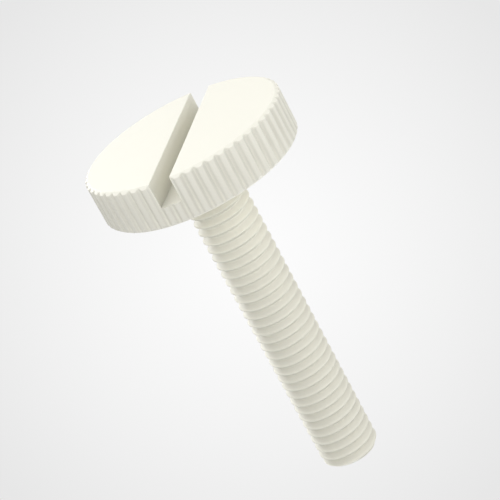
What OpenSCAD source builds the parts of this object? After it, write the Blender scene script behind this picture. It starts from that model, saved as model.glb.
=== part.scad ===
// Knurled thumb screw with a flat slotted head, moulded in one piece.
// Millimetres. It stands on its head: the slotted face is at z = 0, centred on
// the origin, the slot runs along X and the threaded shank points up +Z.

/* [Head] */
// Diameter of the head over the knurl crests
head_dia = 16.6; // [14:0.1:20]
// Thickness of the head
head_height = 3.7; // [3:0.1:5]
// Width of the chamfer round the slotted face
face_chamfer_width = 0.32; // [0.1:0.01:0.5]
// Height of the chamfer round the slotted face
face_chamfer_height = 0.2; // [0.05:0.01:0.4]
// Chamfer round the underside of the head
under_chamfer = 0.25; // [0.05:0.01:0.4]

/* [Knurl] */
// Number of straight flutes round the head
flute_count = 56; // [40:2:72]
// Depth of a flute below the crests
flute_depth = 0.22; // [0.15:0.01:0.25]
// Radius of a flute's rounded floor
flute_floor_radius = 0.1; // [0.05:0.01:0.15]
// Angle between the two flanks of a flute
flute_angle = 90; // [70:5:100]

/* [Slot] */
// Width of the driver slot
slot_width = 1.7; // [1:0.05:2.5]
// Depth of the driver slot
slot_depth = 2.05; // [1:0.05:2.5]

/* [Thread] */
// Outside diameter of the thread
thread_dia = 5; // [4:0.1:6]
// Length of the threaded shank under the head
thread_length = 27.8; // [15:0.1:32]
// Distance from one thread crest to the next
thread_pitch = 0.8; // [0.7:0.05:1]
// Depth of the thread groove
thread_depth = 0.49; // [0.3:0.01:0.5]
// Width of the flat on the thread crests
crest_flat = 0.1; // [0.08:0.01:0.14]
// Chamfer at the tip of the shank
tip_chamfer = 0.4; // [0.1:0.05:0.8]

/* [Hidden] */

head_r = head_dia / 2;
thread_r = thread_dia / 2;
screw_height = head_height + thread_length;

// Flute section, from its floor's centre out past the crests
flank_half = flute_angle / 2;
flute_floor_x = head_r - flute_depth + flute_floor_radius;
flank_start_x = flute_floor_x - flute_floor_radius * sin(flank_half);
flank_start_y = flute_floor_radius * cos(flank_half);
flank_end_x = head_r + 0.2;
flank_end_y = flank_start_y + (flank_end_x - flank_start_x) * tan(flank_half);

// Thread groove: steps a turn, the turn it takes to reach full depth, and how
// far from the underside its centre line starts, as a part of the pitch.
turn_steps = 24;
run_out = 0.5;
groove_start = 0.42;
flank_angle = 30;
// how far the groove cutter stands out of the shank
cut_over = 0.05;
groove_mouth = thread_pitch - crest_flat + 2 * cut_over * tan(flank_angle);
groove_floor = thread_pitch - crest_flat - 2 * thread_depth * tan(flank_angle);
step_count = ceil((thread_length / thread_pitch + 0.7 - groove_start) * turn_steps);

natural_nylon = [0.9, 0.89, 0.84];

// share of the full depth at one step
function part_depth(i) = min(1, 0.12 + i / turn_steps / run_out);

function ring_point(r, i, z) =
    let (a = 360 * i / turn_steps) [r * cos(a), r * sin(a), z];

// the four corners of the groove's section at one step
function groove_corners(i) =
    let (
        k = part_depth(i),
        z = head_height + thread_pitch * (groove_start + i / turn_steps),
        inner = thread_r + cut_over - k * (thread_depth + cut_over),
        outer = thread_r + cut_over
    )
    [
        ring_point(inner, i, z - k * groove_floor / 2),
        ring_point(outer, i, z - k * groove_mouth / 2),
        ring_point(outer, i, z + k * groove_mouth / 2),
        ring_point(inner, i, z + k * groove_floor / 2)
    ];

module thread_groove() {
    corners = [for (i = [0:step_count], p = groove_corners(i)) p];
    sides = [
        for (i = [0:step_count - 1], j = [0:3])
            let (a = 4 * i + j, b = 4 * i + (j + 1) % 4)
                each [[a, b, b + 4], [a, b + 4, a + 4]]
    ];
    last = 4 * step_count;
    ends = [[3, 2, 1], [3, 1, 0], [last, last + 1, last + 2], [last, last + 2, last + 3]];
    polyhedron(points = corners, faces = concat(sides, ends));
}

// a V with a round floor, pointing to the axis
module flute_section() {
    translate([flute_floor_x, 0])
        circle(r = flute_floor_radius, $fn = 24);
    polygon([
        [flank_start_x, -flank_start_y],
        [flank_end_x, -flank_end_y],
        [flank_end_x, flank_end_y],
        [flank_start_x, flank_start_y]
    ]);
}

module knurled_outline() {
    difference() {
        circle(r = head_r, $fn = 224);
        for (i = [0:flute_count - 1])
            rotate(i * 360 / flute_count)
                flute_section();
    }
}

module head() {
    difference() {
        intersection() {
            linear_extrude(height = head_height) knurled_outline();
            rotate_extrude($fn = 224)
                polygon([
                    [0, 0],
                    [head_r - face_chamfer_width, 0],
                    [head_r, face_chamfer_height],
                    [head_r, head_height - under_chamfer],
                    [head_r - under_chamfer, head_height],
                    [0, head_height]
                ]);
        }
        translate([-head_dia, -slot_width / 2, -1])
            cube([2 * head_dia, slot_width, slot_depth + 1]);
    }
}

module shank() {
    difference() {
        rotate_extrude($fn = 96)
            polygon([
                [0, head_height - 0.5],
                [thread_r, head_height - 0.5],
                [thread_r, screw_height - tip_chamfer],
                [thread_r - tip_chamfer, screw_height],
                [0, screw_height]
            ]);
        thread_groove();
    }
}

module thumb_screw() {
    color(natural_nylon)
        union() {
            head();
            shank();
        }
}

thumb_screw();
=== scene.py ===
"""Knurled thumb screw: the moulded nylon screw, its finish and its studio."""

import math

import bpy
from mathutils import Matrix, Vector


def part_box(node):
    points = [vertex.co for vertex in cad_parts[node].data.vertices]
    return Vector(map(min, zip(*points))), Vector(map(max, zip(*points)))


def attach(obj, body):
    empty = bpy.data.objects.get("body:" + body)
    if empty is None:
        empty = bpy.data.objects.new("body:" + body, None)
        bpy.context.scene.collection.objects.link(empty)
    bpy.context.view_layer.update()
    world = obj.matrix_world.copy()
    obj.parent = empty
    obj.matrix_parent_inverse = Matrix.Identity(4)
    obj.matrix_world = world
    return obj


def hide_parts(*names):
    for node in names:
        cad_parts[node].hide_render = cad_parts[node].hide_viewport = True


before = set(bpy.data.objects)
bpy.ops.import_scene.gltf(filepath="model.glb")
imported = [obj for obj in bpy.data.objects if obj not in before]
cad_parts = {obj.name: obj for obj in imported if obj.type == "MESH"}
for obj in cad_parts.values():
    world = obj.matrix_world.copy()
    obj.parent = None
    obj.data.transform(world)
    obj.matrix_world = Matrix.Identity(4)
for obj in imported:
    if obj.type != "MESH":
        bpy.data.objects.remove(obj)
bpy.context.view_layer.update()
node_low, node_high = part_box("thumb_screw")

bl_info = {
    "name": "Knurled Thumb Screw",
    "version": (1, 0, 0),
    "blender": (4, 5, 0),
    "location": "3D View > Sidebar > Thumb Screw",
    "description": "Models a slotted, knurled thumb screw and its studio",
    "category": "Add Mesh",
}

MM = 0.001
FULL_TURN = 2 * math.pi
# Blender's edit tools round at about a micrometre, so the screw is modelled
# with one unit to the millimetre and scaled to metres at the end.
TO_WORK = 1.0 / MM
# How close two places are taken as one: for a level or a wall, and for merging
# the head's and the thread's doubles. In millimetres, as all that is modelled.
SAME_LEVEL = 0.01
SAME_WALL = 0.001
HEAD_MERGE = 0.002
THREAD_MERGE = 0.0005
BISECT_MERGE = 0.00001


class ScrewSizes(bpy.types.PropertyGroup):
    """Sizes of the screw, in metres"""

    head_dia: bpy.props.FloatProperty(
        name="Head diameter", description="Diameter over the knurl crests",
        default=node_high.x - node_low.x, unit="LENGTH")
    screw_height: bpy.props.FloatProperty(
        name="Height", description="From the slotted face to the tip",
        default=node_high.z - node_low.z, unit="LENGTH")
    head_height: bpy.props.FloatProperty(
        name="Head thickness", description="Thickness of the head",
        default=3.7 * MM, unit="LENGTH")
    face_chamfer_width: bpy.props.FloatProperty(
        name="Face chamfer width", description="Width of the chamfer round the slotted face",
        default=0.32 * MM, unit="LENGTH")
    face_chamfer_height: bpy.props.FloatProperty(
        name="Face chamfer height", description="Height of the chamfer round the slotted face",
        default=0.2 * MM, unit="LENGTH")
    under_chamfer: bpy.props.FloatProperty(
        name="Underside chamfer", description="Chamfer round the underside of the head",
        default=0.25 * MM, unit="LENGTH")
    flute_count: bpy.props.IntProperty(
        name="Flutes", description="Number of straight flutes round the head",
        default=56, min=8)
    flute_depth: bpy.props.FloatProperty(
        name="Flute depth", description="Depth of a flute below the crests",
        default=0.22 * MM, unit="LENGTH")
    flute_floor_round: bpy.props.FloatProperty(
        name="Flute floor", description="Rounding of a flute's floor",
        default=0.11 * MM, unit="LENGTH")
    flank_slope: bpy.props.FloatProperty(
        name="Flank slope", description="How steeply a flute's two flanks fall",
        default=1.2, min=0.5, max=3.0)
    flute_shoulder_round: bpy.props.FloatProperty(
        name="Flute shoulder", description="Rounding of the two shoulders of a flute",
        default=0.04 * MM, unit="LENGTH")
    slot_width: bpy.props.FloatProperty(
        name="Slot width", description="Width of the driver slot",
        default=1.7 * MM, unit="LENGTH")
    slot_depth: bpy.props.FloatProperty(
        name="Slot depth", description="Depth of the driver slot",
        default=2.05 * MM, unit="LENGTH")
    thread_dia: bpy.props.FloatProperty(
        name="Thread diameter", description="Outside diameter of the thread",
        default=5.0 * MM, unit="LENGTH")
    thread_pitch: bpy.props.FloatProperty(
        name="Pitch", description="Distance from one thread crest to the next",
        default=0.8 * MM, unit="LENGTH")
    thread_depth: bpy.props.FloatProperty(
        name="Thread depth", description="Depth of the thread groove",
        default=0.49 * MM, unit="LENGTH")
    crest_flat: bpy.props.FloatProperty(
        name="Crest flat", description="Width of the flat on the thread crests",
        default=0.1 * MM, unit="LENGTH")
    crest_start: bpy.props.FloatProperty(
        name="Crest start", description="Where the crest starts over the underside, as a part of the pitch",
        default=0.8, subtype="FACTOR")
    tip_chamfer: bpy.props.FloatProperty(
        name="Tip chamfer", description="Chamfer at the tip of the shank",
        default=0.4 * MM, unit="LENGTH")
    edge_round: bpy.props.FloatProperty(
        name="Edge rounding", description="Width of the rounding on moulded edges",
        default=0.03 * MM, unit="LENGTH")


class ScrewFinish(bpy.types.PropertyGroup):
    """Colours of the nylon and the studio"""

    nylon: bpy.props.FloatVectorProperty(
        name="Nylon", description="Colour of the natural nylon",
        default=(0.86, 0.845, 0.75), size=3, subtype="COLOR", min=0, max=1)
    floor: bpy.props.FloatVectorProperty(
        name="Floor", description="Colour of the studio floor",
        default=(0.8, 0.8, 0.8), size=3, subtype="COLOR", min=0, max=1)


class Shade:
    """A shader socket that takes part in sums, so shading reads as maths."""

    def __init__(self, tree, socket):
        self.tree = tree
        self.socket = socket

    @classmethod
    def node(cls, tree, kind, settings=None, **inputs):
        """Adds a node, sets it up, then feeds its sockets by name."""
        made = tree.nodes.new(kind)
        for key, value in (settings or {}).items():
            setattr(made, key, value)
        for key, value in inputs.items():
            socket = made.inputs[int(key[1:])] if key[1:].isdigit() else made.inputs[key.replace("_", " ")]
            cls.feed(tree, socket, value)
        return made

    @staticmethod
    def feed(tree, socket, value):
        if isinstance(value, Shade):
            tree.links.new(value.socket, socket)
        elif isinstance(value, bpy.types.NodeSocket):
            tree.links.new(value, socket)
        else:
            socket.default_value = value

    def math(self, operation, other=None, flip=False):
        pair = [self] if other is None else [self, other]
        if flip:
            pair.reverse()
        inputs = {f"i{n}": value for n, value in enumerate(pair)}
        made = Shade.node(self.tree, "ShaderNodeMath", {"operation": operation}, **inputs)
        return Shade(self.tree, made.outputs[0])

    def __add__(self, other):
        return self.math("ADD", other)

    def __radd__(self, other):
        return self.math("ADD", other, flip=True)

    def __sub__(self, other):
        return self.math("SUBTRACT", other)

    def __rsub__(self, other):
        return self.math("SUBTRACT", other, flip=True)

    def __mul__(self, other):
        return self.math("MULTIPLY", other)

    def __rmul__(self, other):
        return self.math("MULTIPLY", other, flip=True)

    def dot(self, direction):
        made = Shade.node(
            self.tree, "ShaderNodeVectorMath", {"operation": "DOT_PRODUCT"}, i0=self, i1=direction)
        return Shade(self.tree, made.outputs["Value"])

    def clamped(self):
        made = Shade.node(self.tree, "ShaderNodeClamp", Value=self)
        return Shade(self.tree, made.outputs[0])


def new_material(name):
    """An empty material and its output node."""
    material = bpy.data.materials.new(name)
    material.use_nodes = True
    tree = material.node_tree
    tree.nodes.clear()
    return material, tree, tree.nodes.new("ShaderNodeOutputMaterial")


def noise(tree, place, scale, detail=2.0, roughness=0.5):
    made = Shade.node(
        tree, "ShaderNodeTexNoise", Vector=place, Scale=scale, Detail=detail, Roughness=roughness)
    return Shade(tree, made.outputs[0])


def mix_colours(tree, factor, first, second):
    made = Shade.node(tree, "ShaderNodeMix", {"data_type": "RGBA"}, i0=factor)
    Shade.feed(tree, made.inputs[6], first)
    Shade.feed(tree, made.inputs[7], second)
    return Shade(tree, made.outputs[2])


def shaded(colour, amount):
    """A colour made lighter or darker, with full alpha."""
    return tuple(min(1.0, channel * amount) for channel in colour) + (1.0,)


def ramp(value, start, rate):
    """0 up to the start, then rising to 1 at this rate."""
    return ((value - start) * rate).clamped()


# The nylon's finish. Heights over the slotted face and distances from the axis
# are in millimetres, and a tint is what the colour is multiplied by. The tints of
# the slot, the roots, the crests and the flanks are shade painted in to match the
# photograph: they stay in the colour, under any light.
CLOUD_TINTS = (0.98, 1.02)
SLOT_PAINTED_SHADE = 0.3
SLOT_SHADE_REACH = 1.6
HEAD_TOP = 3.7
# the crests' tint is painted light, a highlight; the slot's, roots' and flanks' are painted shade
CREST_PAINTED_LIGHT = 1.05
CREST_FROM = 2.32
ROOT_PAINTED_SHADE = 0.91
ROOT_WITHIN = 2.4
FLANK_PAINTED_SHADE = 0.86
FLANK_MIDDLE = 8.2
FLANK_OVER_FACE = 0.22
GRAIN_HEIGHT = 0.03
NYLON_IOR = 1.53
NYLON_SPECULAR = 0.45


def nylon_material(colour):
    """Natural moulded nylon: slightly cloudy, satin, with the grain of the mould."""
    material, tree, output = new_material("natural_nylon")
    place = Shade(tree, tree.nodes.new("ShaderNodeTexCoord").outputs["Object"])
    cloud = noise(tree, place, 260.0, 3.0)
    speck = noise(tree, place, 2600.0, 2.0, 0.6)
    grain = noise(tree, place, 9000.0, 3.0, 0.65)
    ripple = noise(tree, place, 900.0, 2.0)
    tone = (cloud * 0.7 + speck * 0.3).clamped()
    unshaded = mix_colours(tree, tone, *(shaded(colour, tint) for tint in CLOUD_TINTS))
    # painted shade, deepest inside the slot and next to none in other corners
    open_sky = Shade.node(
        tree, "ShaderNodeAmbientOcclusion", {"samples": 16, "only_local": True},
        Distance=SLOT_SHADE_REACH * MM)
    deep = ((1 - Shade(tree, open_sky.outputs["AO"])) * 1.1 - 0.1).clamped()
    height_mm = place.dot((0, 0, 1)) * (1 / MM)
    on_head = (2.5 - height_mm * 0.8).clamped()
    slotted = mix_colours(tree, deep * (0.1 + on_head * 0.9), unshaded, shaded(colour, SLOT_PAINTED_SHADE))
    # painted highlight on the thread's crests and painted shade in its roots: the crests are paler than the
    # roots, the more so towards the tip
    from_origin = place.dot(place).math("SQRT") * (1 / MM)
    from_axis = (from_origin * from_origin - height_mm * height_mm).math("SQRT")
    on_shank = ramp(height_mm, HEAD_TOP, 0.08)
    crest = ramp(from_axis, CREST_FROM, 6.0) * on_shank
    root = ((ROOT_WITHIN - from_axis) * 2.2).clamped() * on_shank
    root_shaded = mix_colours(tree, root, slotted, shaded(colour, ROOT_PAINTED_SHADE))
    threaded = mix_colours(tree, crest, root_shaded, shaded(colour, CREST_PAINTED_LIGHT))
    # painted shade: the flutes' flanks are painted deeper than their floors and the lands between
    flank_shade_mask = (1 - (from_axis - FLANK_MIDDLE).math("ABSOLUTE") * 9.0).clamped()
    flank = flank_shade_mask * ramp(height_mm, FLANK_OVER_FACE, 12.0)
    body = mix_colours(tree, flank, threaded, shaded(colour, FLANK_PAINTED_SHADE))
    height = grain * 0.55 + ripple * 0.45
    bump = Shade.node(tree, "ShaderNodeBump", Strength=0.12, Distance=GRAIN_HEIGHT * MM, Height=height)
    shader = Shade.node(
        tree, "ShaderNodeBsdfPrincipled",
        Base_Color=body,
        Roughness=0.4 + speck * 0.12 + ripple * 0.06,
        Normal=Shade(tree, bump.outputs[0]))
    shader.inputs["IOR"].default_value = NYLON_IOR
    shader.inputs["Specular IOR Level"].default_value = NYLON_SPECULAR
    tree.links.new(shader.outputs[0], output.inputs["Surface"])
    return material


def deselect_all():
    if bpy.context.object and bpy.context.object.mode != "OBJECT":
        bpy.ops.object.mode_set(mode="OBJECT")
    bpy.ops.object.select_all(action="DESELECT")


def make_active(piece):
    deselect_all()
    piece.select_set(True)
    bpy.context.view_layer.objects.active = piece


def select_vertices(mesh, wanted):
    """Selects, in edit mode, the vertices whose place passes the test."""
    bpy.ops.object.mode_set(mode="EDIT")
    bpy.ops.mesh.select_mode(type="VERT")
    bpy.ops.mesh.select_all(action="DESELECT")
    bpy.ops.object.mode_set(mode="OBJECT")
    for vertex in mesh.vertices:
        vertex.select = wanted(vertex.co)
    bpy.ops.object.mode_set(mode="EDIT")


def select_edges(mesh, wanted):
    """Selects, in edit mode, the edges whose two ends pass the test together."""
    bpy.ops.object.mode_set(mode="EDIT")
    bpy.ops.mesh.select_mode(type="EDGE")
    bpy.ops.mesh.select_all(action="DESELECT")
    bpy.ops.object.mode_set(mode="OBJECT")
    for edge in mesh.edges:
        ends = [mesh.vertices[index].co for index in edge.vertices]
        edge.select = wanted(*ends)
    bpy.ops.object.mode_set(mode="EDIT")


def apply_boolean(piece, tool, operation):
    """Cuts, joins or meets piece with tool, then takes the tool away."""
    make_active(piece)
    cut = piece.modifiers.new("cut", "BOOLEAN")
    cut.operation = operation
    cut.solver = "EXACT"
    cut.object = tool
    bpy.ops.object.modifier_apply(modifier=cut.name)
    bpy.data.objects.remove(tool)


def flute_fall(across, sizes):
    """How far the knurl lies below its crests, this far across from a flute's middle.

    A flute is a V of nearly a right angle: its floor and its two shoulders are round.
    """
    floor_round = sizes.flute_floor_round * TO_WORK
    shoulder = sizes.flute_shoulder_round * TO_WORK
    depth = sizes.flute_depth * TO_WORK
    below = depth - sizes.flank_slope * (math.hypot(across, floor_round) - floor_round)
    return (below + math.hypot(below, shoulder)) / 2


def model_head(sizes, steps_per_flute=24):
    """The head: a disc raised ring by ring from the slotted face, then fluted, its moulded edges rounded."""
    radius = sizes.head_dia / 2 * TO_WORK
    height = sizes.head_height * TO_WORK
    face_width = sizes.face_chamfer_width * TO_WORK
    face_height = sizes.face_chamfer_height * TO_WORK
    under = sizes.under_chamfer * TO_WORK
    rounding = sizes.edge_round * TO_WORK
    count = sizes.flute_count * steps_per_flute
    inner = radius - face_width
    least_fall = 0.0005
    tallest_level_edge = 0.15

    deselect_all()
    bpy.ops.mesh.primitive_circle_add(vertices=count, radius=inner, fill_type="NGON")
    head = bpy.context.object
    head.name = "thumb_screw_moulding"
    bpy.ops.object.mode_set(mode="EDIT")
    bpy.ops.mesh.select_all(action="SELECT")
    steps = (
        (radius / inner, face_height),
        (1.0, height - face_height - under),
        ((radius - under) / radius, under),
    )
    for grow, rise in steps:
        bpy.ops.mesh.extrude_region_move(TRANSFORM_OT_translate={"value": (0, 0, rise)})
        bpy.ops.transform.resize(value=(grow, grow, 1.0), center_override=(0, 0, 0))
    bpy.ops.mesh.select_all(action="SELECT")
    bpy.ops.mesh.normals_make_consistent(inside=False)

    # the flutes: each column of the rim is drawn in, and its ends follow the chamfers
    step_angle = FULL_TURN / count
    face_ring = face_height
    under_ring = height - under

    def column_of(place):
        index = round(math.atan2(place.y, place.x) / step_angle) % steps_per_flute
        return min(index, steps_per_flute - index)

    def on_rim(place):
        return place.xy.length > radius - min(face_width, under) / 2

    for column in range(steps_per_flute // 2 + 1):
        fall = flute_fall(column * step_angle * radius, sizes)
        if fall < least_fall:
            continue
        draw = (radius - fall) / radius
        for ring, slope in ((face_ring, -face_height / face_width), (under_ring, 1.0)):
            select_vertices(head.data, lambda place: (
                on_rim(place) and abs(place.z - ring) < SAME_LEVEL and column_of(place) == column))
            bpy.ops.transform.translate(value=(0, 0, fall * slope))
            bpy.ops.transform.resize(value=(draw, draw, 1.0), center_override=(0, 0, 0))

    # the moulded edges of the rim, face and underside are slightly round
    def rim_edge(first, second):
        level = abs(first.z - second.z) < tallest_level_edge
        outer = min(first.xy.length, second.xy.length) > inner + SAME_WALL
        neighbours = (first.xy - second.xy).length < 3 * step_angle * radius
        return level and outer and neighbours

    select_edges(head.data, rim_edge)
    bpy.ops.mesh.bevel(offset=rounding, offset_type="OFFSET", segments=2, affect="EDGES", clamp_overlap=True)
    bpy.ops.mesh.select_all(action="SELECT")
    bpy.ops.mesh.remove_doubles(threshold=HEAD_MERGE)
    bpy.ops.object.mode_set(mode="OBJECT")
    return head


def cut_slot(head, sizes):
    """The driver slot, right across the slotted face, with softened lips."""
    radius = sizes.head_dia / 2 * TO_WORK
    width = sizes.slot_width * TO_WORK
    depth = sizes.slot_depth * TO_WORK
    over = 1.0
    half = width / 2
    lip = sizes.edge_round * TO_WORK * 0.8
    shortest_lip = 0.1
    deselect_all()
    bpy.ops.mesh.primitive_cube_add(size=1.0, location=(0, 0, (depth - over) / 2))
    blade = bpy.context.object
    blade.scale = (2 * radius + 2 * over, width, depth + over)
    bpy.ops.object.transform_apply(location=True, rotation=False, scale=True)
    apply_boolean(head, blade, "DIFFERENCE")

    def lip_edge(first, second):
        on_wall = abs(abs(first.y) - half) < SAME_WALL and abs(first.y - second.y) < SAME_WALL
        on_face = max(first.z, second.z) < SAME_WALL
        return on_wall and on_face and abs(first.x - second.x) > shortest_lip

    select_edges(head.data, lip_edge)
    bpy.ops.mesh.bevel(offset=lip, offset_type="OFFSET", segments=2, affect="EDGES", clamp_overlap=True)
    bpy.ops.object.mode_set(mode="OBJECT")


def thread_section(sizes, flank_angle=math.radians(30), soft=0.03):
    """One pitch of the thread's outline, from crest to crest, as (radius, height) points.

    The flanks stand at this angle to a plane across the axis, and the corners at
    the crest and the root are rounded by a few times the soft measure.
    """
    radius = sizes.thread_dia / 2 * TO_WORK
    pitch = sizes.thread_pitch * TO_WORK
    depth = sizes.thread_depth * TO_WORK
    flat = sizes.crest_flat * TO_WORK
    slope = math.tan(flank_angle)
    floor_half = (pitch - flat) / 2 - depth * slope
    middle = pitch / 2
    half = [
        (radius, 0.0),
        (radius - 0.2 * soft, flat / 2 * 0.7),
        (radius - soft, flat / 2 + 0.6 * soft * slope),
        (radius - 2.6 * soft, flat / 2 + 2.6 * soft * slope),
        (radius - depth + 1.6 * soft, middle - floor_half - 1.6 * soft * slope),
        (radius - depth + 0.4 * soft, middle - floor_half * 0.75),
        (radius - depth, middle),
    ]
    back = [(r, pitch - z) for r, z in reversed(half[:-1])]
    return half + back


def model_shank(sizes, turn_steps=96):
    """The threaded shank: one pitch of outline wound up the axis, cut to length and chamfered."""
    radius = sizes.thread_dia / 2 * TO_WORK
    pitch = sizes.thread_pitch * TO_WORK
    low = sizes.head_height * TO_WORK
    high = sizes.screw_height * TO_WORK
    chamfer = sizes.tip_chamfer * TO_WORK
    inset = 0.3
    spare = 0.5
    turns_below = 3
    turns_over = 5

    section = thread_section(sizes)
    start = low + (sizes.crest_start - turns_below) * pitch
    deselect_all()
    bpy.ops.mesh.primitive_plane_add(size=1.0)
    shank = bpy.context.object
    bpy.ops.object.mode_set(mode="EDIT")
    bpy.ops.mesh.select_mode(type="VERT")
    bpy.ops.mesh.select_all(action="SELECT")
    bpy.ops.mesh.merge(type="CENTER")
    bpy.ops.transform.translate(value=(section[0][0], 0, start + section[0][1]))
    for here, there in zip(section, section[1:]):
        step = (there[0] - here[0], 0, there[1] - here[1])
        bpy.ops.mesh.extrude_vertices_move(TRANSFORM_OT_translate={"value": step})
    bpy.ops.object.mode_set(mode="OBJECT")

    wind = shank.modifiers.new("wind", "SCREW")
    wind.axis = "Z"
    wind.angle = FULL_TURN
    wind.screw_offset = pitch
    wind.iterations = math.ceil((high - low) / pitch) + turns_over
    wind.steps = turn_steps
    wind.render_steps = turn_steps
    wind.use_smooth_shade = True
    bpy.ops.object.modifier_apply(modifier=wind.name)

    bpy.ops.object.mode_set(mode="EDIT")
    bpy.ops.mesh.select_all(action="SELECT")
    bpy.ops.mesh.remove_doubles(threshold=THREAD_MERGE)
    for level, outwards in ((low - inset, -1), (high, 1)):
        bpy.ops.mesh.bisect(
            plane_co=(0, 0, level), plane_no=(0, 0, outwards),
            use_fill=True, clear_outer=True, threshold=BISECT_MERGE)
        bpy.ops.mesh.select_all(action="SELECT")
    bpy.ops.mesh.normals_make_consistent(inside=False)
    bpy.ops.object.mode_set(mode="OBJECT")

    # the tip's chamfer: what lies outside a pointed sleeve is taken off
    deselect_all()
    reach = chamfer + spare
    bpy.ops.mesh.primitive_cone_add(
        vertices=turn_steps, radius1=radius - chamfer + reach, radius2=radius - chamfer - spare,
        depth=reach + spare, location=(0, 0, high - reach + (reach + spare) / 2))
    point = bpy.context.object
    bpy.ops.object.transform_apply(location=True, rotation=False, scale=False)
    bpy.ops.object.mode_set(mode="EDIT")
    bpy.ops.mesh.select_mode(type="FACE")
    bpy.ops.mesh.select_all(action="DESELECT")
    bpy.ops.object.mode_set(mode="OBJECT")
    for face in point.data.polygons:
        face.select = face.normal.z < -0.9
    bpy.ops.object.mode_set(mode="EDIT")
    bpy.ops.mesh.extrude_region_move(TRANSFORM_OT_translate={"value": (0, 0, low - high)})
    bpy.ops.object.mode_set(mode="OBJECT")
    apply_boolean(shank, point, "INTERSECT")
    return shank


def finish_piece(piece, material, sharp_angle=math.radians(32)):
    """Scales the piece to metres, smooths it, and stands it in for the CAD node."""
    make_active(piece)
    piece.scale = (MM, MM, MM)
    bpy.ops.object.transform_apply(location=True, rotation=True, scale=True)
    bpy.ops.object.shade_smooth_by_angle(angle=sharp_angle)
    piece.data.materials.clear()
    piece.data.materials.append(material)
    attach(piece, "root")
    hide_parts("thumb_screw")


class MESH_OT_thumb_screw(bpy.types.Operator):
    """Model the screw as one moulded piece"""

    bl_idname = "mesh.thumb_screw"
    bl_label = "Thumb screw"

    def execute(self, context):
        sizes = context.scene.screw_sizes
        head = model_head(sizes)
        cut_slot(head, sizes)
        shank = model_shank(sizes)
        apply_boolean(head, shank, "UNION")
        if not head.data.polygons:
            raise RuntimeError("the head and the shank didn't join")
        finish_piece(head, nylon_material(context.scene.screw_finish.nylon))
        return {"FINISHED"}


# The camera, in the screw's own frame: the slotted face looks up and left at
# it, and the shank runs away to the lower right.
CAMERA_PLACE = Vector((-121.84, 49.70, -43.82)) * MM
CAMERA_RIGHT = Vector((0.16013, 0.88511, 0.43697))
CAMERA_DOWN = Vector((-0.49289, -0.31184, 0.81229))
LENS = 130.4
SENSOR = 36.0

# The backdrop's greys, and how far from its middle it reaches the darker one.
BACKDROP_MIDDLE = (0.98, 0.98, 0.98, 1)
BACKDROP_EDGE = (0.8, 0.8, 0.8, 1)
BACKDROP_SPREAD = math.radians(10.6)
BACKDROP_CURVE = 1.3

# The floor lies just under the slotted face, which the screw stands on.
FLOOR_RADIUS = 0.6
FLOOR_DROP = 0.03 * MM

# The even light of the room, and the lamps: name, place and size in millimetres,
# and power in watts. Two small ones stand close by; the others are soft boxes
# further off, and the top one lights the views from above.
ROOM_LIGHT = (0.45, 0.45, 0.45, 1)
LAMP_AIM = Vector((0, 0, 6)) * MM
LAMPS = (
    ("front_lamp", (-77.0, 31.1, -30.8), 50, 0.017),
    ("side_lamp", (15.8, 76.8, -9.8), 50, 0.0187),
    ("camera_lamp", (-386, 0, -104), 200, 0.273),
    ("face_lamp", (0, 0, -400), 200, 0.36),
    ("low_window_lamp", (182, -182, -306), 200, 0.49),
    ("high_window_lamp", (273, -273, -104), 200, 0.445),
    ("back_lamp", (206, 97, 329), 200, 0.3),
    ("top_lamp", (0, 0, 406), 200, 0.45),
)


def aim_camera():
    data = bpy.data.cameras.new("camera")
    data.lens = LENS
    data.sensor_width = SENSOR
    data.clip_start = 0.005
    data.clip_end = 10
    camera = bpy.data.objects.new("camera", data)
    bpy.context.scene.collection.objects.link(camera)
    right = CAMERA_RIGHT.normalized()
    back = right.cross(-CAMERA_DOWN).normalized()
    up = back.cross(right)
    turn = Matrix((right, up, back)).transposed().to_4x4()
    camera.matrix_world = Matrix.Translation(CAMERA_PLACE) @ turn
    bpy.context.scene.camera = camera
    return camera


def add_lamp(name, place, aim, size, watts):
    """A square soft lamp that faces the point it is aimed at."""
    data = bpy.data.lights.new(name, "AREA")
    data.shape = "SQUARE"
    data.size = size
    data.energy = watts
    lamp = bpy.data.objects.new(name, data)
    bpy.context.scene.collection.objects.link(lamp)
    lamp.location = place
    lamp.rotation_euler = (aim - place).to_track_quat("-Z", "Y").to_euler()
    lamp.visible_camera = False


def floor_material(colour):
    """A pale floor that is seen from above and let through from below."""
    material, tree, output = new_material("studio_floor")
    under = Shade(tree, tree.nodes.new("ShaderNodeNewGeometry").outputs["Backfacing"])
    seen = Shade(tree, tree.nodes.new("ShaderNodeLightPath").outputs["Is Camera Ray"])
    place = Shade(tree, tree.nodes.new("ShaderNodeTexCoord").outputs["Object"])
    body = mix_colours(tree, noise(tree, place, 40.0, 3.0), shaded(colour, 0.99), shaded(colour, 1.01))
    paint = Shade.node(tree, "ShaderNodeBsdfDiffuse", Color=body)
    clear = tree.nodes.new("ShaderNodeBsdfTransparent")
    mix = Shade.node(
        tree, "ShaderNodeMixShader", i0=seen * (1 - under), i1=clear.outputs[0], i2=paint.outputs[0])
    tree.links.new(mix.outputs[0], output.inputs["Surface"])
    return material


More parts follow.
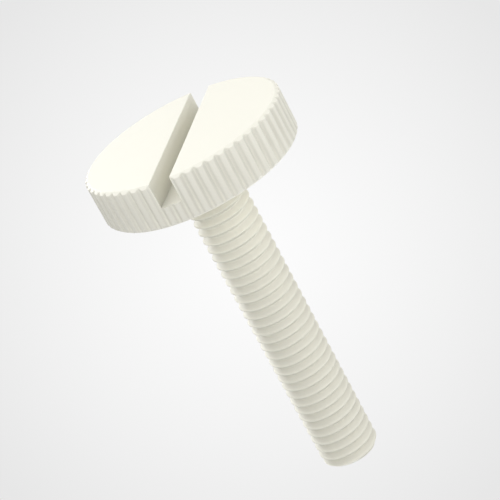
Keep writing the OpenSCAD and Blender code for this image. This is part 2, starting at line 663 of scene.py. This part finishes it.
def light_world(view):
    """A pale backdrop, brightest where the camera first looks, and even light all round."""
    world = bpy.data.worlds.new("studio")
    bpy.context.scene.world = world
    world.use_nodes = True
    tree = world.node_tree
    tree.nodes.clear()
    output = tree.nodes.new("ShaderNodeOutputWorld")
    rays = tree.nodes.new("ShaderNodeLightPath")
    seen = (Shade(tree, rays.outputs["Is Camera Ray"]) + Shade(tree, rays.outputs["Is Glossy Ray"])
            + Shade(tree, rays.outputs["Is Transmission Ray"])).clamped()
    towards = Shade(tree, tree.nodes.new("ShaderNodeTexCoord").outputs["Generated"])
    angle = towards.dot(view).math("ARCCOSINE")
    fade = (angle * (1 / BACKDROP_SPREAD)).clamped().math("POWER", BACKDROP_CURVE)
    backdrop = mix_colours(tree, fade, BACKDROP_MIDDLE, BACKDROP_EDGE)
    shown = Shade.node(tree, "ShaderNodeBackground", Color=backdrop, Strength=1.0)
    soft = Shade.node(tree, "ShaderNodeBackground", Color=ROOM_LIGHT, Strength=1.0)
    mix = Shade.node(tree, "ShaderNodeMixShader", i0=seen, i1=soft.outputs[0], i2=shown.outputs[0])
    tree.links.new(mix.outputs[0], output.inputs["Surface"])


class SCENE_OT_thumb_screw_stage(bpy.types.Operator):
    """Set the floor, the backdrop, the lamps and the camera"""

    bl_idname = "scene.thumb_screw_stage"
    bl_label = "Studio"

    def execute(self, context):
        camera = aim_camera()
        deselect_all()
        bpy.ops.mesh.primitive_circle_add(
            vertices=96, radius=FLOOR_RADIUS, fill_type="NGON", location=(0, 0, -FLOOR_DROP))
        floor = context.object
        floor.name = "studio_floor"
        bpy.ops.object.transform_apply(location=True, rotation=False, scale=False)
        floor.data.materials.append(floor_material(context.scene.screw_finish.floor))

        for name, place, size, watts in LAMPS:
            add_lamp(name, Vector(place) * MM, LAMP_AIM, size * MM, watts)
        light_world(camera.matrix_world.to_3x3() @ Vector((0, 0, -1)))
        context.scene.view_settings.view_transform = "Standard"
        return {"FINISHED"}


class VIEW3D_PT_thumb_screw(bpy.types.Panel):
    """Lists the screw's sizes, colours and pieces"""

    bl_label = "Knurled Thumb Screw"
    bl_idname = "VIEW3D_PT_thumb_screw"
    bl_space_type = "VIEW_3D"
    bl_region_type = "UI"
    bl_category = "Thumb Screw"

    def draw(self, context):
        for group in (context.scene.screw_sizes, context.scene.screw_finish):
            box = self.layout.box()
            for name in group.__annotations__:
                box.prop(group, name)
        for operator in OPERATORS:
            self.layout.operator(operator.bl_idname)


OPERATORS = (MESH_OT_thumb_screw, SCENE_OT_thumb_screw_stage)
CLASSES = (ScrewSizes, ScrewFinish, *OPERATORS, VIEW3D_PT_thumb_screw)


def register():
    for item in CLASSES:
        bpy.utils.register_class(item)
    bpy.types.Scene.screw_sizes = bpy.props.PointerProperty(type=ScrewSizes)
    bpy.types.Scene.screw_finish = bpy.props.PointerProperty(type=ScrewFinish)


def unregister():
    del bpy.types.Scene.screw_finish
    del bpy.types.Scene.screw_sizes
    for item in reversed(CLASSES):
        bpy.utils.unregister_class(item)


def main():
    register()
    bpy.ops.mesh.thumb_screw()
    bpy.ops.scene.thumb_screw_stage()


if __name__ == "__main__":
    main()
